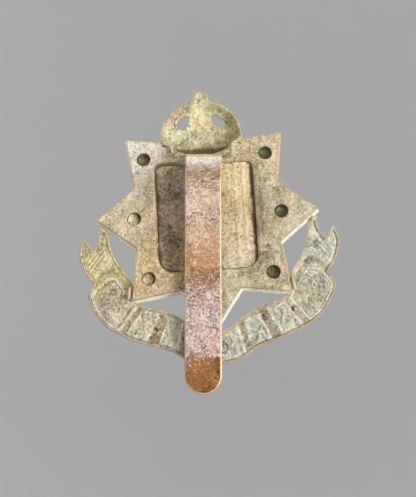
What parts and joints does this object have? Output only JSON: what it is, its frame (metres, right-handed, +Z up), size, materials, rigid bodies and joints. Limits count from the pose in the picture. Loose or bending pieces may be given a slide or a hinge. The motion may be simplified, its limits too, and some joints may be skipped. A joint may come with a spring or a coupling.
{
  "type": "cap badge",
  "caption": "Crowned eight-pointed star cap badge with a plain shield, domed studs, a ribbon scroll and a brazed slider behind.",
  "frame": {"origin": "centre of the star, in the plane of its flat back", "axes": "the badge stands as worn: +X to the right seen from the front, +Y out of its back, +Z up through the crown"},
  "size_m": [0.0428, 0.0059, 0.0511],
  "materials": {
    "star": "aged white metal with a grey and pinkish tan patina",
    "shield": "aged white metal with dark brown dirt in its hollow back",
    "stud": "dull brass, dark olive at the bottom of the pits",
    "crown": "aged yellow-olive brass",
    "scroll": "aged brass with a grey-green bloom and bright worn edges",
    "slider": "copper-brown oxidised strip, speckled with white deposits",
    "braze": "dull, grainy brazing metal"
  },
  "bodies": {
    "root": {"crown": "crown", "crown_braze_left": "braze", "crown_braze_right": "braze", "scroll": "scroll", "scroll_braze_foot": "braze", "scroll_braze_left_point": "braze", "scroll_braze_left_tail": "braze", "scroll_braze_right_point": "braze", "scroll_braze_right_tail": "braze", "shield": "shield", "slider": "slider", "slider_braze": "braze", "star_plate": "star", "star_stud_1": "stud", "star_stud_2": "stud", "star_stud_3": "stud", "star_stud_4": "stud", "star_stud_5": "stud", "star_stud_6": "stud", "star_stud_7": "stud"}
  },
  "joints": []
}
